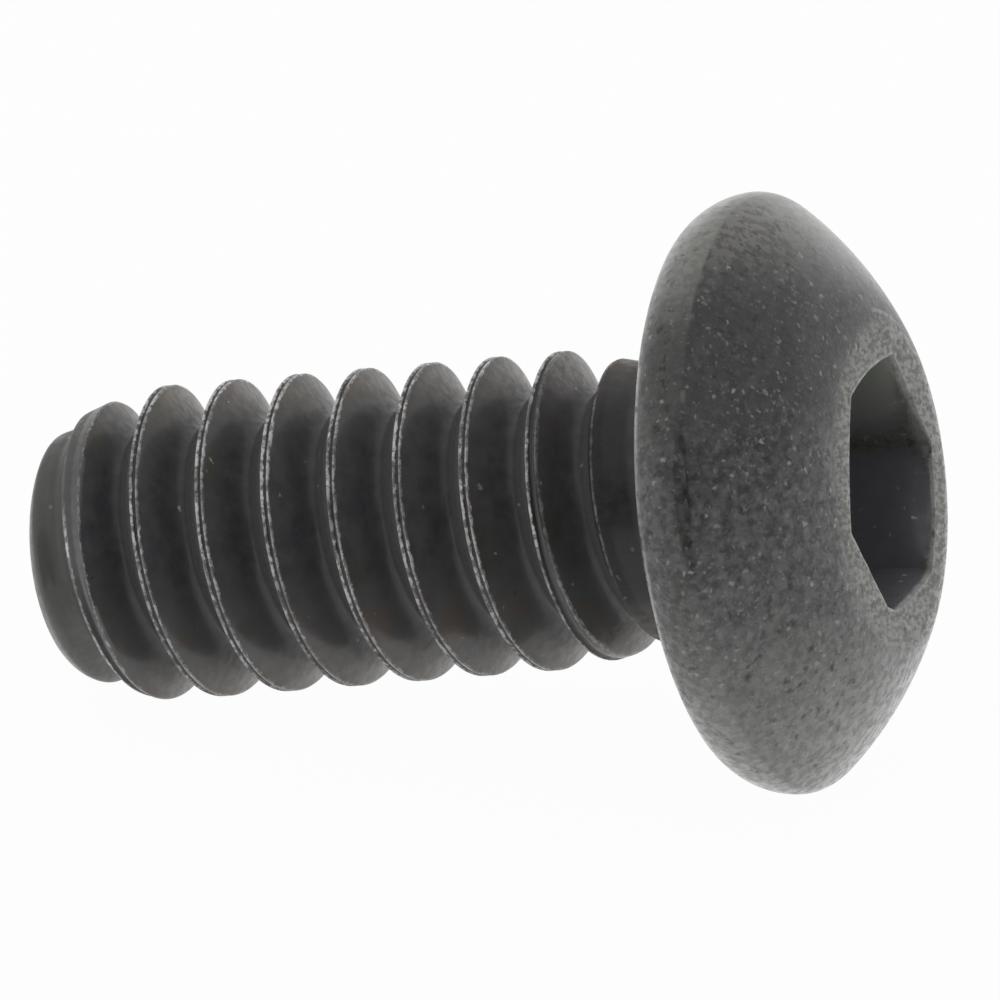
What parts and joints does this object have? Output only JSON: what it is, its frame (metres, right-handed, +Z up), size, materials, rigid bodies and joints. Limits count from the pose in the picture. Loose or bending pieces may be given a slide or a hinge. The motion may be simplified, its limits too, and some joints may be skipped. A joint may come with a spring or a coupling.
{
  "type": "button head socket screw",
  "caption": "Low domed screw with a hexagon socket, a coarse right-hand machine thread and a short tapered point, in black steel.",
  "frame": {"origin": "middle of the footprint of the lying screw, on the surface that it lies on", "axes": "+Z up; the screw lies along X with its head towards +X, its own axis rising 12.0 degrees from the point to the head"},
  "size_m": [0.0136, 0.009, 0.0088],
  "materials": {
    "black_steel": "satin black oxide, worn lighter along the thread crests and the edges of the head"
  },
  "bodies": {
    "root": {"button_head_screw": "black_steel"}
  },
  "joints": []
}
